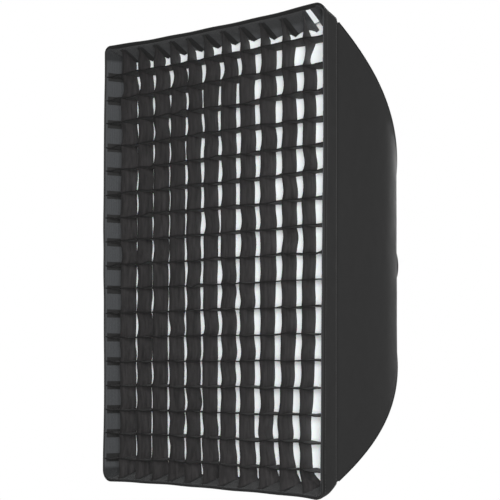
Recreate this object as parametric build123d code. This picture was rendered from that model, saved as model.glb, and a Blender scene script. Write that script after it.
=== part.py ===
from build123d import *
import math
import os

# A rectangular fabric softbox with four flexible rods, a turning speedring, an inner
# baffle, a front diffuser and a soft egg-crate grid. Millimetres, +Z up. The origin is
# the centre of the bayonet insert's rear seating face. +Y points back, to the light, and
# the softbox opens towards -Y.

# Driving dimensions of the whole
FRONT_WIDTH = 600.0
FRONT_HEIGHT = 900.0
DEPTH = 500.0

# Rib line, drawn in the diagonal plane of each corner. It leaves the speedring nearly
# radially and bends forward, most sharply at the root, as a sprung rod does.
RIB_ROOT_RADIUS = 100.0
RIB_ROOT_Y = -28.5
RIB_ROOT_TILT = 10.0
RIB_ROOT_CURVATURE = 0.00295
RIB_BEND_LENGTH = 660.0
RIB_LENGTH = 602.0
RIB_ARCS = 6
RIB_ROOT_RUN = 30.0
RIB_TIP_RUN = 25.0

# Fabric
RIDGE_OFFSET = 5.5
SHELL_THICK = 1.2
LINING_THICK = 0.6
SHELL_FRONT_Y = -447.6
SHELL_HOLE_RADIUS = 82.6
PIPING_RADIUS = 1.2
PIPING_OFFSET = RIDGE_OFFSET + 1.7
PIPING_ROOT_RUN = 10.0
PIPING_TIP_RUN = 15.0
SKIN_POINTS = 16

# Rods
ROD_OFFSET = -3.0
ROD_RADIUS = 2.5
ROD_FIT = 0.02
FERRULE_RADIUS = 3.5
FERRULE_COLLAR_RADIUS = 4.6
FERRULE_COLLAR_LENGTH = 3.0
FERRULE_COLLAR_GAP = 0.1
TIP_RADIUS = 3.1
TIP_LENGTH = 16.0
TIP_CLOSED = 3.0
POCKET_RADIUS = 11.0
POCKET_LENGTH = 30.0
POCKET_PAST_ROD = 6.0
POCKET_CLEARANCE = 0.3
POCKET_END_CLEARANCE = 0.5

# Speedring
RING_OUTER = 80.0
RING_BORE = 56.02
RING_FRONT_Y = -36.0
RING_REAR_Y = -6.0
RING_WALL = 3.0
RING_PLATE = 3.5
RECESS_RADIUS = 67.0
RECESS_Y = -10.5
BOSS_WIDTH = 20.0
SOCKET_RADIUS = 6.0
SOCKET_BORE = 3.6
SOCKET_BACK = 36.0
SOCKET_FLOOR = 2.5
SOCKET_FIT = 0.05
CLIP_COUNT = 3
CLIP_THICK = 2.0
CLIP_INNER = 62.0
CLIP_OUTER = 78.0
CLIP_ANGLE = 26.0
CLIP_FIRST = 90.0
SCREW_CIRCLE = 73.0
SCREW_SPREAD = 8.0
SCREW_HEAD_RADIUS = 2.6
SCREW_HEAD_HEIGHT = 1.8
SCREW_SHANK_RADIUS = 1.5
SCREW_LENGTH = 4.0
SCREW_HOLE_DEPTH = 3.4

# Bayonet insert
INSERT_BORE = 49.0
HUB_RADIUS = 60.0
FLANGE_RADIUS = 66.6
FLANGE_FRONT_Y = -9.9
FLANGE_REAR_Y = -6.9
SPIGOT_RADIUS = 55.95
SPIGOT_FRONT_Y = -24.0
LUG_COUNT = 3
LUG_HEIGHT = 11.0
LUG_LIP_HEIGHT = 3.0
LUG_INNER = 54.0
LUG_OUTER = 65.0
LUG_ANGLE = 24.0
LUG_FIRST = 30.0
WASHER_INNER = 57.0
WASHER_OUTER = 66.0
WASHER_REAR_Y = -10.0

# Rear collar
COLLAR_INNER = 80.3
COLLAR_OUTER = 82.3
COLLAR_FRONT_Y = -45.0
COLLAR_REAR_Y = -9.0
ELASTIC_OUTER = 83.6
ELASTIC_FRONT_Y = -18.0
ELASTIC_REAR_Y = -10.0

# Front lip: a flared frame of doubled fabric, with layers counted inwards from its skin
LIP_DEPTH = 52.0
LIP_TAPER_X = 10.5 / 52.0
LIP_TAPER_Z = 17.0 / 52.0
LIP_CORNER_RADIUS = 28.0
LIP_CORNER_TAPER = 8.0 / 52.0
BINDING_DEPTH = 10.0
BINDING_THICK = 3.2
LIP_SKIN = 0.4
LIP_THICK = 2.0
TAPE_THICK = 1.0
LAYER_GAP = 0.3
TAPE_FRONT_Y = -489.0
TAPE_REAR_Y = -462.0

# Diffuser
DIFFUSER_FRONT_Y = -488.0
DIFFUSER_CLOTH_Y = -456.0
DIFFUSER_CLOTH_THICK = 0.8
DIFFUSER_BORDER_THICK = 1.0

# Grid
GRID_COLUMNS = 12
GRID_ROWS = 18
COLUMN_PITCH = 50.0
ROW_PITCH = 49.2
GRID_FRONT_Y = -497.0
GRID_REAR_Y = -459.0
GRID_BORDER_THICK = 1.2
STRIP_THICK = 0.8
SLOT_FIT = 0.3

# Inner baffle
BAFFLE_WIDTH = 390.0
BAFFLE_HEIGHT = 600.0
BAFFLE_Y = -270.0
BAFFLE_CORNER = 18.0
BAFFLE_THICK = 0.8
BAFFLE_BORDER = 14.0
BAFFLE_BORDER_THICK = 0.8
TAB_WIDTH = 22.0
TAB_THICK = 1.2
TAB_LAP = 10.0
TAB_LENGTH = 80.0
TAB_SPACING_X = 220.0
TAB_SPACING_Z = 360.0
SNAP_RADIUS = 5.0
SNAP_HEIGHT = 2.5
SNAP_ROUND = 1.0

DIAGONAL = math.atan2(FRONT_HEIGHT, FRONT_WIDTH)
CORNERS = [(1, 1), (-1, 1), (-1, -1), (1, -1)]
LIP_REAR_Y = -DEPTH + LIP_DEPTH
LIP_INNER = LIP_SKIN + LIP_THICK
DIFFUSER_INSET = LIP_INNER + TAPE_THICK + LAYER_GAP
GRID_INSET = DIFFUSER_INSET + DIFFUSER_BORDER_THICK + LAYER_GAP
STRIP_INSET = GRID_INSET + GRID_BORDER_THICK

# Solids that are trimmed later start this long. Cuts run past what they cut, and joined
# solids run into each other.
REACH = 600.0
CUT = 1.0
JOIN = 1.0

os.makedirs("parts", exist_ok=True)


def save(name, shape):
    """Write one named piece, or one group of separate identical pieces."""
    solids = list(shape.solids())
    whole = solids[0] if len(solids) == 1 else Compound(children=solids)
    export_step(whole, f"parts/{name}.step")


# Planes and small solids

def across(y):
    """Plane square to the softbox's axis, with local x along X and local y along Z."""
    return Plane(origin=(0, y, 0), x_dir=(1, 0, 0), z_dir=(0, -1, 0))


def corner_plane(sign_x, sign_z):
    """Diagonal plane of one corner: local x runs outwards, local y along Y."""
    reach_x = sign_x * math.cos(DIAGONAL)
    reach_z = sign_z * math.sin(DIAGONAL)
    return Plane(origin=(0, 0, 0), x_dir=(reach_x, 0, reach_z), z_dir=(-reach_z, 0, reach_x))


def disc(radius, y_front, y_rear):
    """Solid cylinder on the softbox's axis."""
    return extrude(across(y_rear) * Circle(radius), y_rear - y_front)


def tube(outer, inner, y_front, y_rear):
    """Hollow cylinder on the softbox's axis."""
    return disc(outer, y_front, y_rear) - disc(inner, y_front - CUT, y_rear + CUT)


def sector(inner, outer, y_front, y_rear, middle, angle):
    """Part of a hollow cylinder, centred on an angle from +X towards +Z."""
    wedge_reach = outer * 2
    half = math.radians(angle / 2)
    corner = (wedge_reach * math.cos(half), wedge_reach * math.sin(half))
    wedge = make_face(Polyline((0, 0), corner, (corner[0], -corner[1]), close=True))
    depth = y_rear - y_front + 2 * CUT
    wedge = extrude(across(y_rear + CUT) * Rot(0, 0, middle) * wedge, depth)
    return tube(outer, inner, y_front, y_rear) & wedge


# Rib line

def bend_angle(length):
    """Angle from the radial direction at a length along the rib, in degrees."""
    turned = RIB_ROOT_CURVATURE * (length - length ** 2 / (2 * RIB_BEND_LENGTH))
    return RIB_ROOT_TILT + math.degrees(turned)


def rib_line(offset, root_run, tip_run):
    """Rib line in its diagonal plane, moved outwards by an offset, as tangent edges."""
    tilt = math.radians(RIB_ROOT_TILT)
    along = Vector(math.cos(tilt), -math.sin(tilt))
    outward = Vector(math.sin(tilt), math.cos(tilt))
    root = Vector(RIB_ROOT_RADIUS, RIB_ROOT_Y) + outward * offset
    edges = [Line(root - along * root_run, root)]
    step = RIB_LENGTH / RIB_ARCS
    for index in range(RIB_ARCS):
        turn = bend_angle(step * (index + 1)) - bend_angle(step * index)
        radius = step / math.radians(turn) + offset
        edges.append(JernArc(edges[-1] @ 1, edges[-1] % 1, radius, -turn))
    if tip_run > 0:
        end = edges[-1]
        edges.append(Line(end @ 1, (end @ 1) + (end % 1) * tip_run))
    return Wire([edge.edge() for edge in edges])


RIDGE = rib_line(RIDGE_OFFSET, RIB_ROOT_RUN, RIB_TIP_RUN)
ROD_LINE = rib_line(ROD_OFFSET, RIB_ROOT_RUN, 0)


def round_bar(path, radius):
    """Round bar along a path."""
    return sweep(Plane(origin=path @ 0, z_dir=path % 0) * Circle(radius), path=path)


def socket_axis(distance):
    """Point on a rod's straight root, at a distance behind the rib's root, in its plane."""
    tilt = math.radians(RIB_ROOT_TILT)
    along = Vector(math.cos(tilt), -math.sin(tilt))
    outward = Vector(math.sin(tilt), math.cos(tilt))
    return Vector(RIB_ROOT_RADIUS, RIB_ROOT_Y) + outward * ROD_OFFSET - along * distance


def along_root(distance, radius, length):
    """Cylinder on a rod's straight root, starting at a distance behind the rib's root."""
    heading = socket_axis(0) - socket_axis(1)
    return extrude(Plane(origin=socket_axis(distance), z_dir=heading) * Circle(radius), length)


# Fabric shell

def skin_points(scale, inset):
    """Points of a panel's profile: the ridge seen along the panel, moved inwards."""
    points = []
    for index in range(SKIN_POINTS + 1):
        here = RIDGE @ (index / SKIN_POINTS)
        heading = RIDGE % (index / SKIN_POINTS)
        flat = Vector(heading.X * scale, heading.Y).normalized()
        points.append(Vector(here.X * scale + flat.Y * inset, here.Y - flat.X * inset))
    return points


def profile_plane(side):
    """Plane of a panel's profile: X and Y for a side panel, Z and Y for top and bottom."""
    if side in ("left", "right"):
        return Plane.XY
    return Plane(origin=(0, 0, 0), x_dir=(0, 0, 1), z_dir=(-1, 0, 0))


def panel_scale(side):
    """Share of the ridge's radius that a panel's profile reaches."""
    return math.cos(DIAGONAL) if side in ("left", "right") else math.sin(DIAGONAL)


def panel_band(side, inset, thick):
    """Curved sheet of one panel, before it is mitred to its neighbours."""
    scale = panel_scale(side)
    outer = Spline(*skin_points(scale, inset))
    inner = Spline(*skin_points(scale, inset + thick))
    face = make_face([outer, inner, Line(outer @ 0, inner @ 0), Line(outer @ 1, inner @ 1)])
    return extrude(profile_plane(side) * face, REACH, both=True)


def gore_wedge(side):
    """Wedge between the two diagonals, which mitres a panel to its neighbours."""
    along, rise = REACH, REACH * FRONT_HEIGHT / FRONT_WIDTH
    if side == "right":
        outline = [(0, 0), (along, rise), (along, -rise)]
    elif side == "left":
        outline = [(0, 0), (-along, rise), (-along, -rise)]
    elif side == "top":
        outline = [(0, 0), (along, rise), (-along, rise)]
    else:
        outline = [(0, 0), (along, -rise), (-along, -rise)]
    return extrude(across(0) * make_face(Polyline(*outline, close=True)), -SHELL_FRONT_Y)


def shell_panel(side, inset, thick):
    """One fabric panel, open round the speedring and cut square at the front."""
    band = panel_band(side, inset, thick)
    if side in ("left", "bottom"):
        band = mirror(band, about=Plane.YZ if side == "left" else Plane.XY)
    hole = disc(SHELL_HOLE_RADIUS, SHELL_FRONT_Y, CUT)
    return (band & gore_wedge(side)) - hole


def shell_inside(inset):
    """Solid space inside the shell's skin, moved inwards by an inset."""
    spaces = []
    for side in ("right", "top"):
        curve = Spline(*skin_points(panel_scale(side), inset))
        start, end = curve @ 0, curve @ 1
        outline = [curve, Line(start, (0, start.Y)), Line((0, start.Y), (0, end.Y))]
        face = make_face(outline + [Line((0, end.Y), end)])
        half = extrude(profile_plane(side) * face, REACH, both=True)
        spaces.append(half + mirror(half, about=Plane.YZ if side == "right" else Plane.XY))
    return spaces[0] & spaces[1]


# Front frames

def lip_section(y, inset):
    """Rounded rectangle of the flared lip at one depth, moved inwards by an inset."""
    behind = y + DEPTH
    width = FRONT_WIDTH - 2 * (LIP_TAPER_X * behind + inset)
    height = FRONT_HEIGHT - 2 * (LIP_TAPER_Z * behind + inset)
    corner = LIP_CORNER_RADIUS - LIP_CORNER_TAPER * behind - inset
    return across(y) * RectangleRounded(width, height, corner)


def lip_solid(y_front, y_rear, inset):
    """Solid block that fills the lip at an inset."""
    return loft([lip_section(y_front, inset), lip_section(y_rear, inset)], ruled=True)


def lip_layer(y_front, y_rear, inset, thick):
    """One layer of the lip, a flared frame open at the front and the rear."""
    return lip_solid(y_front, y_rear, inset) - lip_solid(y_front, y_rear, inset + thick)


def half_size(y, inset, upright):
    """Half height or half width of the lip at one depth and inset."""
    size, taper = (FRONT_HEIGHT, LIP_TAPER_Z) if upright else (FRONT_WIDTH, LIP_TAPER_X)
    return size / 2 - taper * (y + DEPTH) - inset


# Bayonet insert

def make_bayonet_insert():
    body = disc(HUB_RADIUS, FLANGE_FRONT_Y, 0)
    body += disc(FLANGE_RADIUS, FLANGE_FRONT_Y, FLANGE_REAR_Y)
    body += disc(SPIGOT_RADIUS, SPIGOT_FRONT_Y, 0)
    body -= disc(INSERT_BORE, SPIGOT_FRONT_Y - CUT, CUT)
    for index in range(LUG_COUNT):
        middle = LUG_FIRST + index * 360 / LUG_COUNT
        body += sector(LUG_INNER, HUB_RADIUS, -JOIN, LUG_HEIGHT, middle, LUG_ANGLE)
        lip_front = LUG_HEIGHT - LUG_LIP_HEIGHT
        body += sector(LUG_INNER, LUG_OUTER, lip_front, LUG_HEIGHT, middle, LUG_ANGLE)
    return body


def make_slip_washer():
    return tube(WASHER_OUTER, WASHER_INNER, RECESS_Y, WASHER_REAR_Y)


# Speedring

def make_ring_body():
    """Pressed channel: rear plate, outer rim and inner tube, open to the front."""
    plate_front = RECESS_Y - RING_PLATE
    body = tube(RING_OUTER, RING_OUTER - RING_WALL, RING_FRONT_Y, RING_REAR_Y)
    body += tube(RING_BORE + RING_WALL, RING_BORE, RING_FRONT_Y, plate_front + JOIN)
    body += tube(RING_OUTER - JOIN, RING_BORE, plate_front, RING_REAR_Y)
    return body - disc(RECESS_RADIUS, RECESS_Y, RING_REAR_Y + CUT)


def make_boss(sign_x, sign_z):
    """Block in the channel that carries one rod socket."""
    inner, outer = RING_BORE + RING_WALL - JOIN, RING_OUTER - RING_WALL + JOIN
    plate_front = RECESS_Y - RING_PLATE
    outline = Pos((inner + outer) / 2, 0) * Rectangle(outer - inner, BOSS_WIDTH)
    turn = math.degrees(math.atan2(sign_z * math.sin(DIAGONAL), sign_x * math.cos(DIAGONAL)))
    depth = plate_front + JOIN - RING_FRONT_Y
    return extrude(across(plate_front + JOIN) * Rot(0, 0, turn) * outline, depth)


def clip_angles():
    return [CLIP_FIRST + index * 360 / CLIP_COUNT for index in range(CLIP_COUNT)]


def screw_places():
    """Screw centres, two on each retaining clip."""
    places = []
    for middle in clip_angles():
        for side in (-1, 1):
            angle = math.radians(middle + side * SCREW_SPREAD)
            places.append((SCREW_CIRCLE * math.cos(angle), SCREW_CIRCLE * math.sin(angle)))
    return places


def screw_bars(radius, y_front, y_rear):
    """Round bars at the screw centres, for the screws themselves and for their holes."""
    outlines = [across(y_rear) * Pos(x, z) * Circle(radius) for x, z in screw_places()]
    return [extrude(outline, y_rear - y_front) for outline in outlines]


def make_speed_ring():
    body = make_ring_body()
    for corner in CORNERS:
        body += make_boss(*corner)
    for corner in CORNERS:
        hole = along_root(SOCKET_BACK, SOCKET_RADIUS + SOCKET_FIT, SOCKET_BACK)
        body -= corner_plane(*corner) * hole
    hole_radius, hole_floor = SCREW_SHANK_RADIUS + SOCKET_FIT, RING_REAR_Y - SCREW_HOLE_DEPTH
    for hole in screw_bars(hole_radius, hole_floor, RING_REAR_Y + CUT):
        body -= hole
    return body


def make_rod_socket():
    """Closed tube that takes a rod's root, drawn in the corner's own plane."""
    outside = along_root(SOCKET_BACK, SOCKET_RADIUS, SOCKET_BACK)
    return outside - along_root(SOCKET_BACK - SOCKET_FLOOR, SOCKET_BORE, SOCKET_BACK)


def make_retaining_clips():
    clips = []
    for middle in clip_angles():
        rear = RING_REAR_Y + CLIP_THICK
        clip = sector(CLIP_INNER, CLIP_OUTER, RING_REAR_Y, rear, middle, CLIP_ANGLE)
        clips.append(clip)
    group = clips[0] + clips[1:]
    hole_radius = SCREW_SHANK_RADIUS + SOCKET_FIT
    for hole in screw_bars(hole_radius, RING_REAR_Y - CUT, RING_REAR_Y + CLIP_THICK + CUT):
        group -= hole
    return group


def make_clip_screws():
    seat = RING_REAR_Y + CLIP_THICK
    heads = screw_bars(SCREW_HEAD_RADIUS, seat, seat + SCREW_HEAD_HEIGHT)
    shanks = screw_bars(SCREW_SHANK_RADIUS, seat - SCREW_LENGTH, seat + JOIN)
    screws = [head + shank for head, shank in zip(heads, shanks)]
    return Compound(children=[screw.solids()[0] for screw in screws])


# Rods, drawn in the corner's own plane

def make_rod():
    return round_bar(ROD_LINE, ROD_RADIUS)


def make_ferrule():
    """Sleeve on the rod's root, with a collar that stops at the socket's mouth."""
    collar = along_root(-FERRULE_COLLAR_GAP, FERRULE_COLLAR_RADIUS, FERRULE_COLLAR_LENGTH)
    sleeve = along_root(RIB_ROOT_RUN, FERRULE_RADIUS, RIB_ROOT_RUN + FERRULE_COLLAR_GAP)
    bore = along_root(RIB_ROOT_RUN + CUT, ROD_RADIUS + ROD_FIT, RIB_ROOT_RUN)
    return sleeve + collar - bore - round_bar(ROD_LINE, ROD_RADIUS + ROD_FIT)


def tip_plane(back):
    """Plane square to the rod's end, a distance back from it."""
    end, heading = ROD_LINE @ 1, ROD_LINE % 1
    return Plane(origin=end - heading * back, z_dir=heading)


def make_tip():
    """Moulded cap on the rod's end."""
    start = TIP_LENGTH - TIP_CLOSED
    cap = extrude(tip_plane(start) * Circle(TIP_RADIUS), TIP_LENGTH)
    return cap - round_bar(ROD_LINE, ROD_RADIUS + ROD_FIT)


def make_pocket(inside):
    """Sewn corner pocket round the rod's end, cut to the space inside the lining."""
    mouth = POCKET_LENGTH - POCKET_PAST_ROD
    outside = extrude(tip_plane(mouth) * Circle(POCKET_RADIUS), POCKET_LENGTH)
    bore_outline = tip_plane(POCKET_LENGTH) * Circle(TIP_RADIUS + POCKET_CLEARANCE)
    bore = extrude(bore_outline, POCKET_LENGTH + TIP_CLOSED + POCKET_END_CLEARANCE)
    return (corner_plane(1, 1) * (outside - bore)) & inside


# Grid

def strip_outline(upright, slots_at, slot_rear):
    """Outline of one strip, with the half slots where it crosses the others."""
    front = half_size(GRID_FRONT_Y, STRIP_INSET, upright)
    rear = half_size(GRID_REAR_Y, STRIP_INSET, upright)
    corners = [(-front, GRID_FRONT_Y), (front, GRID_FRONT_Y), (rear, GRID_REAR_Y)]
    outline = make_face(Polyline(*corners, (-rear, GRID_REAR_Y), close=True))
    middle = (GRID_FRONT_Y + GRID_REAR_Y) / 2
    depth = (GRID_REAR_Y - GRID_FRONT_Y) / 2 + CUT
    centre = middle + depth / 2 if slot_rear else middle - depth / 2
    for place in slots_at:
        outline -= Pos(place, centre) * Rectangle(STRIP_THICK + SLOT_FIT, depth + SLOT_FIT)
    return outline


def strip_places(cells, pitch):
    """Strip centres for a number of cells, even about the middle."""
    return [(index - cells / 2) * pitch for index in range(1, cells)]


def make_strips(upright):
    columns = strip_places(GRID_COLUMNS, COLUMN_PITCH)
    rows = strip_places(GRID_ROWS, ROW_PITCH)
    places, slots_at = (columns, rows) if upright else (rows, columns)
    outline = strip_outline(upright, slots_at, upright)
    strip = extrude(outline, STRIP_THICK / 2, both=True)
    strips = []
    for place in places:
        if upright:
            plane = Plane(origin=(place, 0, 0), x_dir=(0, 0, 1), z_dir=(-1, 0, 0))
        else:
            plane = Plane(origin=(0, 0, place), x_dir=(1, 0, 0), z_dir=(0, 0, 1))
        strips.append((plane * strip).solids()[0])
    return Compound(children=strips)


# Inner baffle

def baffle_plate(width, height, corner, y_front, y_rear):
    outline = across(y_rear) * RectangleRounded(width, height, corner)
    return extrude(outline, y_rear - y_front)


def make_baffle_border():
    front = BAFFLE_Y - BAFFLE_BORDER_THICK
    outer = baffle_plate(BAFFLE_WIDTH, BAFFLE_HEIGHT, BAFFLE_CORNER, front, BAFFLE_Y)
    width, height = BAFFLE_WIDTH - 2 * BAFFLE_BORDER, BAFFLE_HEIGHT - 2 * BAFFLE_BORDER
    opening = baffle_plate(width, height, BAFFLE_CORNER / 2, front - CUT, BAFFLE_Y + CUT)
    return outer - opening


def tab_places():
    """Middle of each elastic tab at the baffle's edge, and its direction, two on a side."""
    places = []
    for side in (-1, 1):
        for end in (-1, 1):
            places.append(((side * BAFFLE_WIDTH / 2, end * TAB_SPACING_Z / 2), (side, 0)))
            places.append(((end * TAB_SPACING_X / 2, side * BAFFLE_HEIGHT / 2), (0, side)))
    return places


def make_baffle_tabs(inside):
    tabs = []
    rear = BAFFLE_Y + BAFFLE_THICK + TAB_THICK
    for (x, z), (step_x, step_z) in tab_places():
        shift = TAB_LENGTH / 2 - TAB_LAP
        size = (TAB_LENGTH, TAB_WIDTH) if step_x else (TAB_WIDTH, TAB_LENGTH)
        outline = Pos(x + step_x * shift, z + step_z * shift) * Rectangle(*size)
        tab = extrude(across(rear) * outline, TAB_THICK) & inside
        tabs.append(tab.solids()[0])
    return Compound(children=tabs)


def make_baffle_snaps():
    """Press studs that join each tab to the baffle's border."""
    rear = BAFFLE_Y + BAFFLE_THICK + TAB_THICK + SNAP_HEIGHT
    snaps = []
    for (x, z), (step_x, step_z) in tab_places():
        place = Pos(x - step_x * TAB_LAP / 2, z - step_z * TAB_LAP / 2)
        snap = extrude(across(rear) * place * Circle(SNAP_RADIUS), SNAP_HEIGHT)
        rim = snap.edges().group_by(Axis.Y)[-1]
        snaps.append(fillet(rim, SNAP_ROUND).solids()[0])
    return Compound(children=snaps)


# Build and save

SIDES = ("top", "bottom", "left", "right")
inner_space = shell_inside(SHELL_THICK + LINING_THICK + POCKET_CLEARANCE)

save("bayonet_insert", make_bayonet_insert())
save("slip_washer", make_slip_washer())
save("speed_ring", make_speed_ring())
save("retaining_clips", make_retaining_clips())
save("clip_screws", make_clip_screws())

socket, rod, ferrule, tip = make_rod_socket(), make_rod(), make_ferrule(), make_tip()
piping_line = rib_line(PIPING_OFFSET, PIPING_ROOT_RUN, PIPING_TIP_RUN)
piping = round_bar(piping_line, PIPING_RADIUS)
pocket = make_pocket(inner_space)
for number, (sign_x, sign_z) in enumerate(CORNERS, start=1):
    plane = corner_plane(sign_x, sign_z)
    save(f"rod_socket_{number}", plane * socket)
    save(f"rod_{number}", plane * rod)
    save(f"rod_ferrule_{number}", plane * ferrule)
    save(f"rod_tip_{number}", plane * tip)
    save(f"ridge_piping_{number}", plane * piping)
    placed = pocket if sign_x > 0 else mirror(pocket, about=Plane.YZ)
    placed = placed if sign_z > 0 else mirror(placed, about=Plane.XY)
    save(f"corner_pocket_{number}", placed)

for side in SIDES:
    save(f"shell_panel_{side}", shell_panel(side, 0, SHELL_THICK))
    save(f"lining_panel_{side}", shell_panel(side, SHELL_THICK, LINING_THICK))

collar = tube(COLLAR_OUTER, COLLAR_INNER, COLLAR_FRONT_Y, COLLAR_REAR_Y) - shell_inside(0)
save("rear_collar", collar)
elastic = tube(ELASTIC_OUTER, COLLAR_OUTER, ELASTIC_FRONT_Y, ELASTIC_REAR_Y)
save("collar_elastic", elastic)

save("front_lip", lip_layer(-DEPTH + BINDING_DEPTH, LIP_REAR_Y, LIP_SKIN, LIP_THICK))
save("lip_binding", lip_layer(-DEPTH, -DEPTH + BINDING_DEPTH, 0, BINDING_THICK))
save("lip_loop_tape", lip_layer(TAPE_FRONT_Y, TAPE_REAR_Y, LIP_INNER, TAPE_THICK))

baffle_rear = BAFFLE_Y + BAFFLE_THICK
baffle = baffle_plate(BAFFLE_WIDTH, BAFFLE_HEIGHT, BAFFLE_CORNER, BAFFLE_Y, baffle_rear)
save("inner_baffle", baffle)
save("baffle_border", make_baffle_border())
save("baffle_tabs", make_baffle_tabs(inner_space))
save("baffle_snaps", make_baffle_snaps())

cloth = lip_solid(DIFFUSER_CLOTH_Y, DIFFUSER_CLOTH_Y + DIFFUSER_CLOTH_THICK, DIFFUSER_INSET)
save("diffuser_cloth", cloth)
border = lip_layer(DIFFUSER_FRONT_Y, DIFFUSER_CLOTH_Y, DIFFUSER_INSET, DIFFUSER_BORDER_THICK)
save("diffuser_border", border)

save("grid_border", lip_layer(GRID_FRONT_Y, GRID_REAR_Y, GRID_INSET, GRID_BORDER_THICK))
save("grid_strips_upright", make_strips(True))
save("grid_strips_level", make_strips(False))
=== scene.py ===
import math

import bmesh
import bpy
import numpy as np
from mathutils import Matrix, Vector, noise


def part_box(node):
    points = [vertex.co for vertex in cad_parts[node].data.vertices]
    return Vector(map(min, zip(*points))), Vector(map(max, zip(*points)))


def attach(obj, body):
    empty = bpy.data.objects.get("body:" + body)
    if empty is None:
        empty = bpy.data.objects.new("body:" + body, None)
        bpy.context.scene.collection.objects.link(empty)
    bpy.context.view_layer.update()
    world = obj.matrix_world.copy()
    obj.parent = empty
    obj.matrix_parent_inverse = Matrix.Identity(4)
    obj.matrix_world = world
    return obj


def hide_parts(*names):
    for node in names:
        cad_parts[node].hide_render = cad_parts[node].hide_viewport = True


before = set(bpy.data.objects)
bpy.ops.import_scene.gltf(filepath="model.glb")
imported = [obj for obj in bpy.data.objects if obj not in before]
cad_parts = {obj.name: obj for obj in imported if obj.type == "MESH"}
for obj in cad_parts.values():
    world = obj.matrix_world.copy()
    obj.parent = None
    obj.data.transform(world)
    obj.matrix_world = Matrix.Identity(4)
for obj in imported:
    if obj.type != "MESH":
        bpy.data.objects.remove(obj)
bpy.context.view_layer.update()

TAU = 2 * math.pi

# Signs of x and z: upper right, upper left, lower left, lower right
QUARTERS = ((1, 1), (-1, 1), (-1, -1), (1, -1))

# Places from the frame, in metres. The softbox opens towards -Y and its light sits at +Y.
BINDING_LOW, BINDING_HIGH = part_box("lip_binding")
FRONT_Y, BINDING_REAR_Y = BINDING_LOW.y, BINDING_HIGH.y
HALF_WIDTH, HALF_HEIGHT = BINDING_HIGH.x, BINDING_HIGH.z
DIAGONAL = math.atan2(HALF_HEIGHT, HALF_WIDTH)
LIP_REAR_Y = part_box("front_lip")[1].y
LIP_DEPTH = LIP_REAR_Y - FRONT_Y

# Flare of the lip, its corner radii at the front and the rear, and the bulge of its lower right corner
TAPER_X = 10.5 / 52
TAPER_Z = 17.0 / 52
LIP_CORNERS = (0.022, 0.015, 0.024, 0.021)
REAR_CORNER = 0.014
LIP_PUFF = 0.005

# Inward shift of the lip's front edge in mm, at nine even places along each side, and its ripple.
# A share of both is left at the shell, and none at a reach behind the front.
EDGE_SHIFT = {
    "top": (-3.0, 0.8, 4.2, 4.6, 6.0, 6.4, 5.6, 4.0, 1.0),
    "bottom": (0.0, 1.2, 2.6, 2.3, 2.4, 1.2, 1.0, 0.0, -5.0),
    "left": (-1.0, 0.6, 0.2, -1.8, -4.2, -6.8, -5.8, -6.0, -5.5),
    "right": (0.0, 0.0, -1.5, -2.8, -4.2, -6.2, -8.0, -7.5, -6.0),
}
RIPPLE = 0.4
SHIFT_AT_SHELL = 0.2
SHIFT_REACH = 0.2

# Rib line in the diagonal plane of each corner
RIB_ROOT_RADIUS = 0.100
RIB_ROOT_Y = -0.0285
RIB_ROOT_TILT = math.radians(10)
RIB_ROOT_CURVATURE = 2.95
RIB_BEND_LENGTH = 0.660
RIB_LENGTH = 0.602
RIB_RUN = 0.03
RIB_STEP = 0.001
RIDGE_OFFSET = 0.0055
ROD_OFFSET = -0.003

# Cloth
SHELL_CLOTH = 0.0008
LINING_CLOTH = 0.0004
LINING_BEHIND = 0.0012
SHELL_FRONT_Y = LIP_REAR_Y - 0.0025
SHELL_HOLE = 0.0826
WHITE_CLOTH = 0.0005
STRIP_CLOTH = 0.0007
HEM_CLOTH = 0.0021
# Width of the painted shade along a grid strip's front edge
HEM_SHADE_WIDTH = 0.008

# Layers inside the lip, each counted inwards from the lip's skin
LIP_INSETS = (0.0004, 0.0024)
TAPE_INSETS = (0.0025, 0.0033)
DIFFUSER_INSETS = (0.0037, 0.0046)
GRID_INSETS = (0.0051, 0.0062)
STRIP_INSET = 0.0060
BINDING_INSETS = (0.0, 0.0032)
TAPE_Y = (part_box("lip_loop_tape")[0].y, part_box("lip_loop_tape")[1].y)
DIFFUSER_Y = (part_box("diffuser_border")[0].y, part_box("diffuser_cloth")[0].y)
GRID_Y = (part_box("grid_border")[0].y - 0.0014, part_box("grid_border")[1].y + 0.0012)
GRID_DEPTH = GRID_Y[1] - GRID_Y[0]


# ---- mesh tools

def link(name, mesh):
    obj = bpy.data.objects.new(name, mesh)
    bpy.context.scene.collection.objects.link(obj)
    return obj


def smooth_mesh(mesh):
    """Turns the faces outwards and keeps edges sharp where faces meet at an angle."""
    sharp = math.radians(42)
    bm = bmesh.new()
    bm.from_mesh(mesh)
    bmesh.ops.recalc_face_normals(bm, faces=bm.faces)
    for face in bm.faces:
        face.smooth = True
    for edge in bm.edges:
        edge.smooth = len(edge.link_faces) == 2 and edge.calc_face_angle(0) < sharp
    bm.to_mesh(mesh)
    bm.free()


def quads(rows, columns, loop_rows, loop_columns, first=0):
    """Faces of a grid of points, counted row by row."""
    r = np.arange(rows if loop_rows else rows - 1)
    c = np.arange(columns if loop_columns else columns - 1)
    r, c = np.meshgrid(r, c, indexing="ij")
    r1, c1 = (r + 1) % rows, (c + 1) % columns
    faces = np.stack([r * columns + c, r1 * columns + c, r1 * columns + c1, r * columns + c1], -1)
    return (faces.reshape(-1, 4) + first).tolist()


def make_piece(name, parts):
    """One mesh object from several (points, faces) parts."""
    points, faces = [], []
    for part_points, part_faces in parts:
        shift = len(points)
        points.extend(np.asarray(part_points, float).reshape(-1, 3).tolist())
        faces.extend([[index + shift for index in face] for face in part_faces])
    mesh = bpy.data.meshes.new(name)
    mesh.from_pydata(points, [], faces)
    mesh.validate()
    smooth_mesh(mesh)
    return link(name, mesh)


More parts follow.
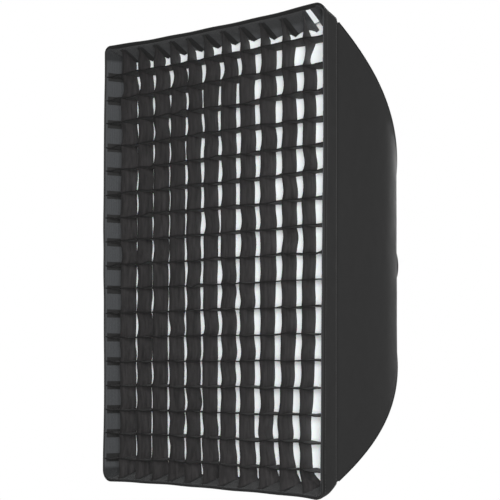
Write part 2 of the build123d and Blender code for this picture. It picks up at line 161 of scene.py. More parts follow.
def ring_mesh(rings):
    """Points and faces of a closed row of closed rings."""
    rings = np.array(rings)
    return rings.reshape(-1, 3), quads(len(rings), rings.shape[1], True, True)


def unit(vectors):
    return vectors / np.linalg.norm(vectors, axis=-1, keepdims=True)


def normals_of(grid, loop_columns=False):
    """Unit normals of a grid of points."""
    if loop_columns:
        across = np.roll(grid, -1, 1) - np.roll(grid, 1, 1)
    else:
        across = np.gradient(grid, axis=1)
    normal = np.cross(np.gradient(grid, axis=0), across)
    return normal / np.maximum(np.linalg.norm(normal, axis=2, keepdims=True), 1e-12)


def two_layers(top, bottom, loop_columns=False):
    """Closed thin sheet between two grids of points."""
    rows, columns = top.shape[:2]
    count = rows * columns
    faces = quads(rows, columns, False, loop_columns) + quads(rows, columns, False, loop_columns, count)
    index = np.arange(count).reshape(rows, columns)
    rims = [index[0], index[-1]]
    if loop_columns:
        rims = [np.append(line, line[0]) for line in rims]
    else:
        rims += [index[:, 0], index[:, -1]]
    for line in rims:
        for a, b in zip(line[:-1].tolist(), line[1:].tolist()):
            faces.append([a, b, b + count, a + count])
    return np.concatenate([top.reshape(-1, 3), bottom.reshape(-1, 3)]), faces


def thick_sheet(grid, thickness, side=1, loop_columns=False):
    """Closed sheet that grows from a grid of points to one side of it."""
    shift = normals_of(grid, loop_columns) * thickness * side
    return two_layers(grid, grid + shift, loop_columns)


def filled_sheet(rim, rings, lift):
    """White cloth inside a rim, filled in by shrinking rings; lift gives each point's rise along Y."""
    grid = np.array([rim * (share, 1, share) for share in np.linspace(1, 0.02, rings)])
    grid[..., 1] += lift(grid[..., 0], grid[..., 2])
    points, faces = two_layers(grid, grid + (0, WHITE_CLOTH, 0), True)
    count = len(points) // 2
    last = list(range(count - len(rim), count))
    return points, faces + [last, [index + count for index in last]]


def tube_along(path, radius, sides):
    """Round tube along a path, closed at its ends."""
    tangents = unit(np.gradient(path, axis=0))
    side = np.cross(tangents[0], (0.31, 0.17, 0.93))
    turn = np.arange(sides) * TAU / sides
    rings = []
    for point, along in zip(path, tangents):
        side = unit(side - along * side.dot(along))
        around = np.outer(np.cos(turn), side) + np.outer(np.sin(turn), np.cross(along, side))
        rings.append(point + around * radius)
    faces = quads(len(path), sides, False, True)
    faces += [list(range(sides)), list(range((len(path) - 1) * sides, len(path) * sides))]
    return np.array(rings).reshape(-1, 3), faces


def smoothstep(value, low, high):
    t = np.clip((value - low) / (high - low), 0, 1)
    return t * t * (3 - 2 * t)


# ---- rib and lip shapes

def rib_profile(offset, tip_run=RIB_RUN):
    """Lengths, radii and depths of the rib line, moved outwards by an offset."""
    length = np.arange(-RIB_RUN, RIB_LENGTH + tip_run, RIB_STEP)
    bent = np.clip(length, 0, RIB_LENGTH)
    angle = RIB_ROOT_TILT + RIB_ROOT_CURVATURE * (bent - bent ** 2 / (2 * RIB_BEND_LENGTH))
    middle = (angle[1:] + angle[:-1]) / 2
    radius = np.concatenate([[0], np.cumsum(np.cos(middle) * RIB_STEP)])
    depth = np.concatenate([[0], np.cumsum(np.sin(middle) * RIB_STEP)])
    radius += RIB_ROOT_RADIUS - np.interp(0, length, radius)
    depth += -RIB_ROOT_Y - np.interp(0, length, depth)
    return length, radius + offset * np.sin(angle), -depth + offset * np.cos(angle)


RIDGE_LENGTH, RIDGE_RADIUS, RIDGE_Y = rib_profile(RIDGE_OFFSET)
RIDGE_END = float(np.interp(-SHELL_FRONT_Y, -RIDGE_Y, RIDGE_LENGTH))
EDGE_CURVE = {side: np.polynomial.Polynomial.fit(np.linspace(-1, 1, len(shifts)), shifts, 6)
              for side, shifts in EDGE_SHIFT.items()}


def shell_y(radius, angle):
    """Depth of the shell's skin at a distance and direction from the axis."""
    across = np.abs(np.cos(angle)) / math.cos(DIAGONAL)
    along = np.abs(np.sin(angle)) / math.sin(DIAGONAL)
    return np.interp(radius * np.maximum(across, along), RIDGE_RADIUS, RIDGE_Y)


def corner_way(sign_x, sign_z):
    """Outward direction of a corner's diagonal plane."""
    return np.array((sign_x * math.cos(DIAGONAL), 0, sign_z * math.sin(DIAGONAL)))


def warp(points):
    """Moves points near the front to the soft outline that the lip's edge hangs in."""
    points = np.array(points, float)
    x, y, z = points[..., 0], points[..., 1], points[..., 2]
    behind = y - FRONT_Y
    share = np.interp(behind, (0, LIP_DEPTH, SHIFT_REACH), (1, SHIFT_AT_SHELL, 0)) / 1000
    across, up = np.clip(x / HALF_WIDTH, -1, 1), np.clip(z / HALF_HEIGHT, -1, 1)
    sideways = np.where(x > 0, -EDGE_CURVE["right"](up), EDGE_CURVE["left"](up))
    upwards = np.where(z > 0, -EDGE_CURVE["top"](across), EDGE_CURVE["bottom"](across))
    wave = RIPPLE * (np.sin(z * 41 + 2 * np.sin(z * 13)) + np.sin(x * 53 + 1))
    lower_right = np.clip(across, 0, 1) * np.clip(-up, 0, 1)
    puff = LIP_PUFF * np.sin(math.pi * np.clip(behind / LIP_DEPTH, 0, 1)) * lower_right ** 6
    points[..., 0] = x + (sideways + wave) * share * np.abs(across) ** 8 + puff
    points[..., 2] = z + (upwards + wave) * share * np.abs(up) ** 12 - puff
    return points


def lip_half(y, inset):
    behind = y - FRONT_Y
    return HALF_WIDTH - TAPER_X * behind - inset, HALF_HEIGHT - TAPER_Z * behind - inset


def lip_corner(y, inset, quarter):
    """Corner radius at one depth, from the front's own radius to the rear's."""
    behind = (y - FRONT_Y) / LIP_DEPTH
    front = LIP_CORNERS[quarter]
    return front + (REAR_CORNER - front) * behind - inset


def steps_for(length, spacing):
    return max(2, round(length / spacing))


def lip_ring(y, inset, spacing=0.008, sag=None):
    """Points round the flared lip at one depth and inset, in its soft outline."""
    half_x, half_z = lip_half(y, inset)
    radii = [lip_corner(y, inset, quarter) for quarter in range(4)]
    arc_steps = steps_for(max(LIP_CORNERS) * math.pi / 2, min(spacing, 0.004))
    points = []
    for quarter, (sign_x, sign_z) in enumerate(QUARTERS):
        radius, after = radii[quarter], radii[(quarter + 1) % 4]
        turn = (quarter + np.arange(arc_steps) / arc_steps) * math.pi / 2
        x = sign_x * (half_x - radius) + radius * np.cos(turn)
        z = sign_z * (half_z - radius) + radius * np.sin(turn)
        points.append(np.stack([x, np.full(arc_steps, y), z], 1))
        upright = quarter % 2 == 1
        half = half_z if upright else half_x
        steps = steps_for(2 * (HALF_HEIGHT if upright else HALF_WIDTH), spacing)
        way = -sign_z if upright else -sign_x
        along = way * np.linspace(-(half - radius), half - after, steps, endpoint=False)
        side = ("top", "left", "bottom", "right")[quarter]
        inward = np.zeros(steps) if sag is None else sag(side, along)
        if upright:
            line = [sign_x * (half_x - inward), np.full(steps, y), along]
        else:
            line = [along, np.full(steps, y), sign_z * (half_z - inward)]
        points.append(np.stack(line, 1))
    return warp(np.concatenate(points))


def swept_ring(section, spacing=0.008):
    """Closed frame from a closed cross-section of (depth, inset) points."""
    return ring_mesh([lip_ring(y, inset, spacing) for y, inset in section])


def band_section(y_front, y_rear, insets, steps, front_round=0.0):
    """Cross-section of a flat band, with its front edge rounded if asked."""
    outer, inner = insets
    ys = np.linspace(y_front, y_rear, steps)
    if not front_round:
        return [(y, outer) for y in ys[::-1]] + [(y, inner) for y in ys]
    middle, half = (outer + inner) / 2, (inner - outer) / 2
    edge = [(y_front + front_round * (1 - math.sin(turn)), middle - half * math.cos(turn))
            for turn in np.linspace(0, math.pi, 7)]
    return [(y, outer) for y in ys[:0:-1]] + edge + [(y, inner) for y in ys[1:]]


def ring_length(points):
    return float(np.linalg.norm(np.roll(points, -1, 0) - points, axis=1).sum())


# ---- materials

MATERIALS = {}
NEUTRAL = (1, 1, 1)
COOL = (0.95, 1.0, 1.06)
WARM = (1.05, 0.98, 1.0)
# Height past which the hook band's colour darkens: painted shade at the band's top and bottom
BAND_SHADE_Z = 0.424


class Nodes:
    """Small helper round one material's node tree. An input's name is given with _ for a space."""

    def __init__(self, name):
        self.material = MATERIALS[name] = bpy.data.materials.new(name)
        self.material.use_nodes = True
        self.tree = self.material.node_tree
        self.shader = self.tree.nodes["Principled BSDF"]

    def join(self, source, target):
        self.tree.links.new(source, target)

    def feed(self, node, **inputs):
        """Gives a node's inputs a number, a colour or another node's output."""
        for key, value in inputs.items():
            socket = node.inputs[key.replace("_", " ")]
            if isinstance(value, bpy.types.NodeSocket):
                self.join(value, socket)
            else:
                socket.default_value = value
        return node

    def add(self, kind, operation=None, **inputs):
        node = self.tree.nodes.new("ShaderNode" + kind)
        if operation:
            node.operation = operation
        return self.feed(node, **inputs)

    def set(self, **inputs):
        self.feed(self.shader, **inputs)

    def math(self, operation, a, b=None):
        node = self.add("Math", operation)
        for socket, value in zip(node.inputs, (a, b)):
            if isinstance(value, (int, float)):
                socket.default_value = value
            elif value is not None:
                self.join(value, socket)
        return node.outputs[0]

    def place(self, scale=(1, 1, 1)):
        """Object coordinates, stretched."""
        coordinates = self.add("TexCoord").outputs["Object"]
        return self.add("Mapping", Vector=coordinates, Scale=scale).outputs["Vector"]

    def noise(self, scale, detail=2.0, roughness=0.5, stretch=(1, 1, 1)):
        node = self.add("TexNoise", Scale=scale, Detail=detail, Roughness=roughness)
        self.feed(node, Vector=self.place(stretch))
        return node.outputs["Fac"]

    def ramp(self, value, low, high, dark, light):
        """Two colours, blended where a value runs from low to high."""
        node = self.add("ValToRGB", Fac=value)
        for element, position, colour in zip(node.color_ramp.elements, (low, high), (dark, light)):
            element.position = position
            element.color = (*colour, 1)
        return node.outputs["Color"]

    def range(self, value, low, high):
        """A value from 0 to 1, mapped to a range."""
        return self.add("MapRange", Value=value, To_Min=low, To_Max=high).outputs["Result"]

    def painted_shade_beyond(self, colour, axis, limit, width, dark):
        """Painted shade: a colour that darkens, over a width, beyond a limit's distance from zero along an
        axis.
        """
        split = self.add("SeparateXYZ", Vector=self.place())
        distance = self.math("ABSOLUTE", split.outputs[axis])
        share = self.math("DIVIDE", self.math("SUBTRACT", distance, limit), -width)
        scale = self.range(share, dark, 1)
        return self.add("VectorMath", "SCALE", Vector=colour, Scale=scale).outputs["Vector"]

    def threads(self, pitch, axes="XYZ"):
        """Sum of sines along the axes: the crossing threads of a plain weave."""
        split = self.add("SeparateXYZ", Vector=self.place())
        total = None
        for axis in axes:
            wave = self.math("SINE", self.math("MULTIPLY", split.outputs[axis], TAU / pitch))
            total = wave if total is None else self.math("ADD", total, wave)
        return total

    def bump(self, height, distance, strength):
        """Bump on top of the bumps that the shader has."""
        node = self.add("Bump", Strength=strength, Distance=distance, Height=height)
        if self.shader.inputs["Normal"].is_linked:
            self.feed(node, Normal=self.shader.inputs["Normal"].links[0].from_socket)
        self.set(Normal=node.outputs["Normal"])


def grey(level, tint=NEUTRAL):
    """Near-neutral colour with a slight tint."""
    return tuple(level * share for share in tint)


def shades(level, contrast, tint=NEUTRAL):
    """A grey that much darker, and one that much lighter."""
    return grey(level * (1 - contrast), tint), grey(level * (1 + contrast), tint)


def cloth(name, level, contrast, pitch=0.0009, roughness=(0.62, 0.8), sheen=0.12, tint=NEUTRAL,
          streak=(1, 1, 1), axes="XYZ", crease=0.0, hem=None):
    """Woven cloth: mottled colour, thread bump and, if asked, streaks, soft creases or painted shade at the
    front hem.
    """
    nodes = Nodes(name)
    nodes.set(Sheen_Weight=sheen, Sheen_Roughness=0.45, Specular_IOR_Level=0.35)
    mottle = nodes.noise(38, detail=6, roughness=0.62, stretch=streak)
    colour = nodes.ramp(mottle, 0.28, 0.72, *shades(level, contrast, tint))
    # Painted shade: the colour darkens towards the front edge, for the hem's fold and the shadow under it
    if hem is not None:
        colour = nodes.painted_shade_beyond(colour, "Y", -GRID_Y[0], HEM_SHADE_WIDTH, hem)
    nodes.set(Base_Color=colour, Roughness=nodes.range(nodes.noise(9, detail=3), *roughness))
    nodes.bump(nodes.threads(pitch, axes), 0.00006, 0.5)
    nodes.bump(mottle, 0.0003, 0.4)
    if crease:
        nodes.bump(nodes.noise(13, detail=4, roughness=0.55), crease, 0.5)


def ribbed(name, level, pitch, axes, tint=NEUTRAL, sheen=0.2, ends=None):
    """Tape or elastic with ribs across it and a fuzzy colour, if asked with painted shade at the top and
    bottom.
    """
    nodes = Nodes(name)
    nodes.set(Sheen_Weight=sheen, Sheen_Roughness=0.5, Specular_IOR_Level=0.3)
    fuzz = nodes.noise(900, detail=3, roughness=0.7)
    colour = nodes.ramp(fuzz, 0.3, 0.7, *shades(level, 0.3, tint))
    # Painted shade: the colour darkens past a height, at the top and bottom of the band
    if ends is not None:
        colour = nodes.painted_shade_beyond(colour, "Z", BAND_SHADE_Z, 0.006, ends)
    nodes.set(Base_Color=colour, Roughness=nodes.range(fuzz, 0.7, 0.92))
    nodes.bump(nodes.threads(pitch, axes), 0.0002, 0.6)
    nodes.bump(fuzz, 0.0003, 0.6)


def white_cloth(name, level):
    """Thin white diffusion cloth: bright, faintly translucent, with a fine weave."""
    nodes = Nodes(name)
    nodes.set(Specular_IOR_Level=0.25, Sheen_Weight=0.15, Subsurface_Weight=0.12, Subsurface_Scale=0.004)
    mottle = nodes.noise(14, detail=4, roughness=0.55, stretch=(1, 1, 0.35))
    nodes.set(Base_Color=nodes.ramp(mottle, 0.3, 0.7, grey(level * 0.96), grey(level)),
              Roughness=nodes.range(mottle, 0.6, 0.78))
    nodes.bump(nodes.threads(0.0008), 0.00005, 0.4)
    nodes.bump(nodes.noise(22, detail=3, stretch=(1, 1, 0.2)), 0.0015, 0.35)


def silver_cloth(name):
    """Silver coated lining with small dimples."""
    nodes = Nodes(name)
    grain = nodes.noise(160, detail=3, roughness=0.6)
    nodes.set(Metallic=0.85, Specular_IOR_Level=0.5, Roughness=nodes.range(grain, 0.28, 0.48),
              Base_Color=nodes.ramp(grain, 0.3, 0.7, (0.55, 0.56, 0.58), (0.80, 0.81, 0.83)))
    nodes.bump(nodes.threads(0.004), 0.0004, 0.7)
    nodes.bump(nodes.noise(26, detail=4), 0.0015, 0.5)


def metal(name, colour, roughness, brush=(1, 1, 1)):
    """Bare metal: uneven tone, fine brushing and worn patches."""
    nodes = Nodes(name)
    wear = nodes.noise(24, detail=6, roughness=0.6)
    grain = nodes.noise(70, detail=4, roughness=0.7, stretch=brush)
    dark = tuple(c * 0.78 for c in colour)
    nodes.set(Metallic=1.0, Base_Color=nodes.ramp(wear, 0.35, 0.65, dark, colour),
              Roughness=nodes.range(grain, roughness * 0.7, roughness * 1.4))
    nodes.bump(grain, 0.0001, 0.35)


def powder_coat(name, level):
    """Matt black powder coat: fine orange peel, rubbed a little brighter in patches."""
    nodes = Nodes(name)
    rub = nodes.noise(30, detail=6, roughness=0.65)
    nodes.set(Specular_IOR_Level=0.5, Coat_Weight=0.08, Coat_Roughness=0.35,
              Base_Color=nodes.ramp(rub, 0.45, 0.78, grey(level), grey(level * 2.2)),
              Roughness=nodes.range(rub, 0.42, 0.62))
    nodes.bump(nodes.noise(1400, detail=2), 0.0001, 0.5)


def plastic(name, colour, roughness):
    """Moulded plastic: slight mottling and a fine spark-eroded grain."""
    nodes = Nodes(name)
    mottle = nodes.noise(60, detail=4)
    light = tuple(min(1, c * 1.15) for c in colour)
    nodes.set(Base_Color=nodes.ramp(mottle, 0.3, 0.7, colour, light),
              Roughness=nodes.range(mottle, roughness * 0.85, roughness * 1.15))
    nodes.bump(nodes.noise(2200, detail=2), 0.00005, 0.4)


cloth("shell_nylon", 0.0185, 0.10, roughness=(0.6, 0.75), sheen=0.03, crease=0.001)
cloth("lip_nylon", 0.0185, 0.14, sheen=0.03, crease=0.001)
cloth("black_webbing", 0.009, 0.25, pitch=0.0016, sheen=0.05)
ribbed("black_elastic", 0.022, 0.0018, "Z")
ribbed("loop_tape", 0.030, 0.002, "XZ")
# The hook band has painted shade at its top and bottom, also where it edges the diffuser
ribbed("hook_band", 0.052, 0.0015, "XZ", tint=COOL, sheen=0.1, ends=0.40)
# Grid strips darken towards their front edges as painted shade of the hem's fold and the shadow beneath it,
# the level strips much more than the uprights
cloth("grid_upright", 0.0210, 0.6, sheen=0.05, tint=WARM, streak=(4, 4, 0.6), axes="Z", crease=0.004, hem=0.5)
# Level strips: the same cloth as the uprights, in a darker grey as painted shade
cloth("grid_level", 0.0165, 0.6, sheen=0.03, tint=WARM, streak=(0.6, 4, 4), axes="X", crease=0.004, hem=0.12)
cloth("grid_end", 0.012, 0.25, pitch=0.0014, sheen=0.03)
white_cloth("diffuser_white", 0.93)
white_cloth("baffle_white", 0.88)
silver_cloth("silver_lining")
cloth("thread", 0.060, 0.3, pitch=0.0007)
metal("insert_metal", (0.62, 0.63, 0.65), 0.32, brush=(1, 14, 1))
powder_coat("ring_paint", 0.018)
metal("bright_steel", (0.56, 0.56, 0.57), 0.30)
metal("rod_steel", (0.50, 0.50, 0.51), 0.24)
metal("snap_metal", (0.62, 0.62, 0.64), 0.16)
plastic("washer_plastic", (0.78, 0.78, 0.75), 0.4)
plastic("tip_plastic", (0.02, 0.02, 0.021), 0.45)


def add_piece(name, parts, material, body, *nodes, slot=None):
    """A new piece with its finish, its body and the CAD nodes that it stands for."""
    obj = make_piece(name, parts)
    obj.data.materials.append(MATERIALS[material])
    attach(obj, body)
    if nodes:
        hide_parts(*nodes)
    return obj


# ---- shell, lining and piping

GORES = {"right": (1, 0), "left": (-1, 0), "top": (0, 1), "bottom": (0, -1)}
GORE_FLAT_STEPS = 44
GORE_ARC_STEPS = 5
GORE_LENGTH_STEPS = 70
EDGE_ROUND = 0.0035
FRONT_ROUND = 0.005
HOLLOW = 0.0018
PUCKER = 0.0005
GATHER = 0.0007
GATHER_START = {"right": 3.0, "left": 8.0, "top": 14.0, "bottom": 21.0}
DRIFT = 0.0006
PIPING_RADIUS = 0.0013


def gore_fractions():
    """Places across a gore: the straight place, and the share of the mitred corner arc past it."""
    arc = np.linspace(1, 0, GORE_ARC_STEPS, endpoint=False)
    flat = [(place, 0) for place in np.linspace(-1, 1, GORE_FLAT_STEPS)]
    return [(-1, share) for share in arc] + flat + [(1, share) for share in arc[::-1]]


def gore_point(across_half, along_half, corner, place, share):
    """Point of a gore's section: outward distance and place across it."""
    if share == 0:
        return across_half, place * (along_half - corner)
    reach = math.hypot(across_half, along_half)
    end = math.atan2(along_half, across_half) + math.asin((across_half - along_half) / reach)
    outward = across_half - corner + corner * math.cos(share * end)
    return outward, place * (along_half - corner + corner * math.sin(share * end))


def gore_sag(side, place, length, y):
    """Slight hollow between the rods, puckers at the ridges and gathers at the speedring."""
    between = float(smoothstep(-y, 0.05, 0.16) * (1 - smoothstep(-y, 0.38, 0.45)))
    hollow = (1 - place ** 2) * HOLLOW * between
    wave = math.sin(length * 310 + 2.2 * math.sin(length * 47))
    pucker = math.exp(-(1 - abs(place)) / 0.045) * PUCKER * wave
    start = GATHER_START[side]
    gather = math.exp(-max(0.0, length) / 0.06) * GATHER * math.sin(place * 34 + start)
    drift = DRIFT * noise.noise((place * 2.2, length * 5, start))
    return hollow + pucker * (1 - abs(place) ** 12) + gather * (1 - place ** 6) + drift * (1 - place ** 4)


def gore_grid(side, behind):
    """Grid of points of one fabric panel, from the speedring to the lip, moved inwards by a distance."""
    sign_x, sign_z = GORES[side]
    sine, cosine = math.sin(DIAGONAL), math.cos(DIAGONAL)
    out_share, span_share = (cosine, sine) if sign_x else (sine, cosine)
    columns = []
    for place, share in gore_fractions():
        start = SHELL_HOLE / math.hypot(out_share, place * span_share)
        start_length = np.interp(start, RIDGE_RADIUS, RIDGE_LENGTH)
        column = []
        for length in np.linspace(start_length, RIDGE_END, GORE_LENGTH_STEPS):
            radius = np.interp(length, RIDGE_LENGTH, RIDGE_RADIUS)
            y = float(np.interp(length, RIDGE_LENGTH, RIDGE_Y))
            corner = EDGE_ROUND + (FRONT_ROUND - EDGE_ROUND) * smoothstep(-y, 0.36, 0.445)
            outward, along = gore_point(radius * out_share, radius * span_share, corner, place, share)
            outward -= gore_sag(side, place, length, y)
            column.append((sign_x * outward, y, along) if sign_x else (along, y, sign_z * outward))
        columns.append(column)
    grid = warp(columns)
    normal = normals_of(grid)
    inward = -np.sign((normal * grid * (1, 0, 1)).sum(2, keepdims=True))
    return grid + normal * inward * behind


def outward_side(grid):
    """1 if the grid's normals point away from the axis, else -1."""
    return 1 if (normals_of(grid) * grid * (1, 0, 1)).sum() > 0 else -1


def make_gore(side, kind, material, behind, thickness):
    grid = gore_grid(side, behind)
    part = thick_sheet(grid, thickness, -outward_side(grid))
    obj = add_piece(f"{kind}_{side}", [part], material, "softbox", f"{kind}_panel_{side}")
    return grid


def ridge_path(side_grid, sign_x, sign_z, lift):
    """Points on one ridge of the shell, lifted away from the axis."""
    line = side_grid[-1 if sign_z > 0 else 0]
    outward = corner_way(sign_x, sign_z)
    along = unit(np.gradient(line, axis=0))
    return line + unit(outward - along * (along @ outward)[:, None]) * lift


gore_grids = {}
for side in GORES:
    gore_grids[side] = make_gore(side, "shell", "shell_nylon", 0.0, SHELL_CLOTH)
    make_gore(side, "lining", "silver_lining", LINING_BEHIND, LINING_CLOTH)

# Piping on each ridge: a round cord in a folded strip
for number, (sign_x, sign_z) in enumerate(QUARTERS, start=1):
    side_grid = gore_grids["right" if sign_x > 0 else "left"]
    path = ridge_path(side_grid, sign_x, sign_z, PIPING_RADIUS * 0.6)[:-2]
    add_piece(f"piping_{number}", [tube_along(path, PIPING_RADIUS, 8)], "black_webbing", "softbox",
              f"ridge_piping_{number}")


# ---- front lip and its binding

SEAM_BEHIND = 0.0045
SEAM_WIDTH = 0.003
SEAM_RIDGE = 0.000385
SEAM_LIFT = 0.0001
STITCH_LENGTH = 0.0034
STITCH_PITCH = 0.0056
STITCH_RADIUS = 0.00032


def hem_section():
    """Lip's section: a doubled sheet whose rear edge is rolled into a hem against the shell."""
    outer, inner = LIP_INSETS
    ys = np.linspace(BINDING_REAR_Y - 0.004, LIP_REAR_Y - 0.004, 9)
    roll = [(LIP_REAR_Y - 0.0022, inner + 0.0022), (LIP_REAR_Y - 0.0006, inner + 0.0021),
            (LIP_REAR_Y, (outer + inner) / 2), (LIP_REAR_Y - 0.0008, outer - 0.0002)]
    skin = [(y, outer + SEAM_RIDGE * (abs(LIP_REAR_Y - SEAM_BEHIND - y) < SEAM_WIDTH)) for y in ys]
    return [(y, inner) for y in ys] + roll + skin[::-1]


def make_lip():
    obj = add_piece("lip", [swept_ring(hem_section())], "lip_nylon", "softbox", "front_lip")
    around = ring_length(lip_ring((BINDING_REAR_Y + LIP_REAR_Y) / 2, LIP_INSETS[0]))


def make_binding():
    section = band_section(FRONT_Y + 0.0006, BINDING_REAR_Y, BINDING_INSETS, 5, 0.0016)
    add_piece("lip_edge", [swept_ring(section, 0.005)], "black_webbing", "softbox", "lip_binding")


def make_loop_tape():
    section = band_section(*TAPE_Y, TAPE_INSETS, 4)
    add_piece("loop_strip", [swept_ring(section)], "loop_tape", "softbox", "lip_loop_tape")


def stitches(path):
    """Short threads along a closed path of points."""
    closed = np.concatenate([path, path[:1]])
    along = np.concatenate([[0], np.cumsum(np.linalg.norm(np.diff(closed, axis=0), axis=1))])
    parts = []
    for start in np.arange(0, along[-1] - STITCH_LENGTH, STITCH_PITCH):
        places = start + np.array([0, 0.25, 0.75, 1]) * STITCH_LENGTH
        points = np.stack([np.interp(places, along, closed[:, k]) for k in range(3)], 1)
        parts.append(tube_along(points, STITCH_RADIUS, 5))
    return parts


make_lip()
make_binding()
make_loop_tape()
seams = [lip_ring(LIP_REAR_Y - SEAM_BEHIND, LIP_INSETS[0] - SEAM_LIFT),
         lip_ring(BINDING_REAR_Y - 0.002, BINDING_INSETS[0] - SEAM_LIFT)]
add_piece("lip_stitching", [part for seam in seams for part in stitches(seam)], "thread", "softbox",
          slot="black_webbing")


# ---- diffuser

def make_diffuser():
    """White cloth with soft upright waves."""
    def lift(x, z):
        ease = 1 - np.maximum(np.abs(x) / HALF_WIDTH, np.abs(z) / HALF_HEIGHT) ** 4
        wave = np.sin(x * 61 + 1.3 * np.sin(z * 5)) + 0.7 * np.sin(x * 127 + z * 9)
        return (0.0009 + 0.0004 * wave) * ease

    y_cloth, inset = DIFFUSER_Y[1], DIFFUSER_INSETS[1]
    part = filled_sheet(lip_ring(y_cloth, inset, 0.010), 26, lift)
    obj = add_piece("diffuser", [part], "diffuser_white", "diffuser", "diffuser_cloth")


def make_diffuser_edge():
    """Band along the lip with a narrow facing on the cloth's front."""
    outer, inner = DIFFUSER_INSETS
    y_front, y_cloth = DIFFUSER_Y
    facing, lift = inner + 0.006, 0.0008
    ys = np.linspace(y_front, y_cloth - lift, 5)
    section = [(y, outer) for y in ys[::-1]] + [(y, inner) for y in ys[:-1]]
    section += [(y_cloth - 2 * lift, inner), (y_cloth - 2 * lift, facing)]
    section += [(y_cloth - 0.0002, facing), (y_cloth - 0.0002, outer)]
    add_piece("diffuser_edge", [swept_ring(section)], "hook_band", "diffuser", "diffuser_border")


make_diffuser()
make_diffuser_edge()


# ---- grid

COLUMNS = 12
ROWS = 18
COLUMN_PITCH = 0.050
ROW_PITCH = 0.0492
ROW_DROP = 0.0073
CELL_STEPS = 8
DEPTH_STEPS = 6

# Sideways drift of each upright strip and the further lean of its rear edge, as the photograph shows
# them, and the rise of a level strip's rear edge at the foot and at the top
COLUMN_DRIFT = np.array((0, 0, -3, -5, -6, -9, -11, -11, -8, -3, -2)) / 1000
COLUMN_LEAN = np.array((2.5, 0.5, 1.5, 1.0, -1.3, -0.3, 0.4, 1.2, 2.8, 0, -3)) / 1000
ROW_TILT = (0.0030, -0.0020)
COLUMN_X = (np.arange(1, COLUMNS) - COLUMNS / 2) * COLUMN_PITCH + COLUMN_DRIFT
ROW_Z = (np.arange(1, ROWS) - ROWS / 2) * ROW_PITCH - ROW_DROP

# Ribs of the border band, and the gap where its two ends meet
RIB_PITCH = 0.0031
RIB_HEIGHT = 0.00028
RIB_STEPS = 4
BAND_JOIN_X = (0.2577, 0.2680)
JOIN_ROWS = 5

# Inward hang of each side of the border: at a strip's rear edge, share of it between strips, at the front.
# It ends towards a corner, and much later at the top right, where the band's ends meet.
BORDER_HANG = {"top": (0.0170, 0.62, 0.0050), "bottom": (0.0030, 0, 0),
               "left": (0.0010, 0, 0), "right": (0.0006, 0, 0)}
CORNER_HOLD = 8
JOIN_HOLD = 40

# Pulls on an upright's rear edge: in its top cell, in the one below and near its foot. Its three top
# cells swell more or less than the others. The last uprights also shift and lean, in mm, at some
# heights counted in cells.
TOP_PULL = 0.0145
SECOND_PULL = 0.018
FOOT_PULL = 0.013
FOOT_CELLS = 2.6
TOP_SLACK = (1.6, 2.6, 0.6)
LOW_HEIGHTS = (0, 0.7, 1.5, 2.5, 3.5, 5, 7)
LOW_SHIFT = {9: (0, -2, -8, -9, -3, -2, 0), 10: (0, -5, -5, -10, -6, -3, 0)}
LOW_LEAN = {8: (0, 0, -5, -5, -4, -2, 0), 9: (0, -2, -3, 2, -4, -1, 0), 10: (0, -9, -7, -1, -1, -1, 0)}

# Doubled strip ends, sewn flat on the border
TAB_WIDTH = 0.0165
TAB_LIFT = 0.0005
TAB_GAP = 0.0010
TAB_CLOTH = 0.0006


def depth_share(y):
    return (y - GRID_Y[0]) / GRID_DEPTH


def border_sag(share):
    """Inward hang of the border at a share of its depth: pulled by the strips, slack between them."""
    def sag(side, along):
        amount, between, front = BORDER_HANG[side]
        stations, half = (ROW_Z, HALF_HEIGHT) if GORES[side][0] else (COLUMN_X, HALF_WIDTH)
        along = np.asarray(along)
        cell = np.interp(along, [-half, *stations, half], np.arange(len(stations) + 2))
        hollow = between + (1 - between) * (1 - np.abs(np.sin(math.pi * cell)) ** 0.8)
        uneven = 0.75 + 0.5 * smoothstep(along, 0.08, 0.18)
        hold = np.where(along > 0, JOIN_HOLD if side == "top" else CORNER_HOLD, CORNER_HOLD)
        return (amount * hollow * uneven * share + front) * (1 - np.abs(along / half) ** hold)

    return sag


def make_join(start, end):
    """White tape between the border band's two ends, which meet at the upper right corner."""
    rows = np.array([start + (end - start) * share for share in np.linspace(-0.05, 1.05, 6)])
    obj = add_piece("grid_join", [thick_sheet(rows, 0.0004)], "diffuser_white", "grid")


def make_grid_border():
    """Border band of the grid, ribbed across on its inner face."""
    outer, inner = GRID_INSETS
    ys = np.linspace(*GRID_Y, 7)

    def ring(y, inset):
        return lip_ring(y, inset, RIB_PITCH / RIB_STEPS, border_sag(depth_share(y)))

    rings = [ring(y, outer) for y in ys[::-1]]
    front = rings[-1]
    count = len(front)
    rib = np.sin(np.arange(count) * TAU / RIB_STEPS) * RIB_HEIGHT
    for y in ys:
        line = ring(y, inner)
        edge = min(y - GRID_Y[0], GRID_Y[1] - y) / GRID_DEPTH
        rings.append(line + unit(-line * (1, 0, 1)) * (rib * min(1, edge * 6))[:, None])
    low, high = BAND_JOIN_X
    in_gap = (front[:, 0] > low) & (front[:, 0] < high) & (front[:, 2] > HALF_HEIGHT * 0.9)
    rings = np.roll(rings, -(np.flatnonzero(in_gap)[-1] + 1), axis=1)[:, :count - in_gap.sum()]
    columns = rings.shape[1]
    faces = quads(len(rings), columns, True, False)
    starts = [row * columns for row in range(len(rings))]
    faces += [starts, [start + columns - 1 for start in starts]]
    inside = rings[len(ys):len(ys) + JOIN_ROWS]
    make_join(inside[:, 0], inside[:, -1])
    obj = add_piece("grid_edge", [(rings, faces)], "hook_band", "grid", "grid_border")
    around = ring_length(lip_ring(sum(GRID_Y) / 2, GRID_INSETS[0]))


